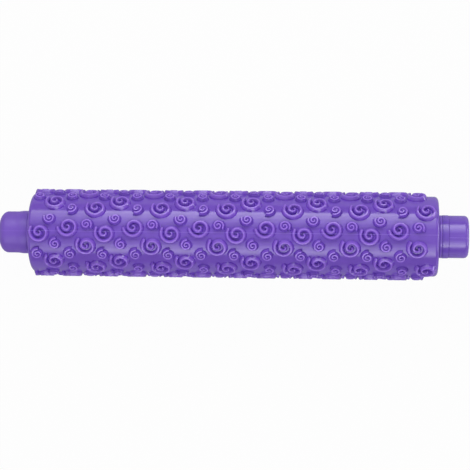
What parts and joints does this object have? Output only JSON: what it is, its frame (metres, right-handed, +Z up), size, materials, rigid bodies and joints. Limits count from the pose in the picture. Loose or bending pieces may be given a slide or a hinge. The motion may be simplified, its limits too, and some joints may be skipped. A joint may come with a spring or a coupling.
{
  "type": "embossed rolling pin",
  "caption": "Plastic rolling pin whose barrel turns on a rod between short end knobs and presses a raised pattern of scrolls into dough or icing.",
  "frame": {"origin": "on the axis of the pin, midway between the ends of the two knobs", "axes": "+X along the axis from the left knob to the right knob, +Z up towards the viewer of the picture, +Y across the pin"},
  "size_m": [0.2514, 0.047, 0.047],
  "materials": {
    "barrel_plastic": "semi-gloss purple moulded plastic",
    "hub_plastic": "semi-gloss purple moulded plastic",
    "knob_plastic": "semi-gloss purple moulded plastic, slightly lighter",
    "washer_plastic": "semi-gloss purple moulded plastic",
    "bush_nylon": "natural nylon",
    "rod_steel": "drawn bright steel rod"
  },
  "bodies": {
    "spindle": {"axle_rod": "rod_steel", "left_knob": "knob_plastic", "right_collar": "knob_plastic", "right_knob": "knob_plastic", "left_washer": "washer_plastic", "right_washer": "washer_plastic"},
    "barrel": {"embossed_barrel": "barrel_plastic", "left_hub": "hub_plastic", "right_hub": "hub_plastic", "left_bush": "bush_nylon", "right_bush": "bush_nylon"}
  },
  "joints": [
    {"name": "barrel_spin", "type": "hinge", "parent": "spindle", "child": "barrel", "pos_m": [0, 0, 0], "axis": [1, 0, 0], "continuous": true}
  ]
}
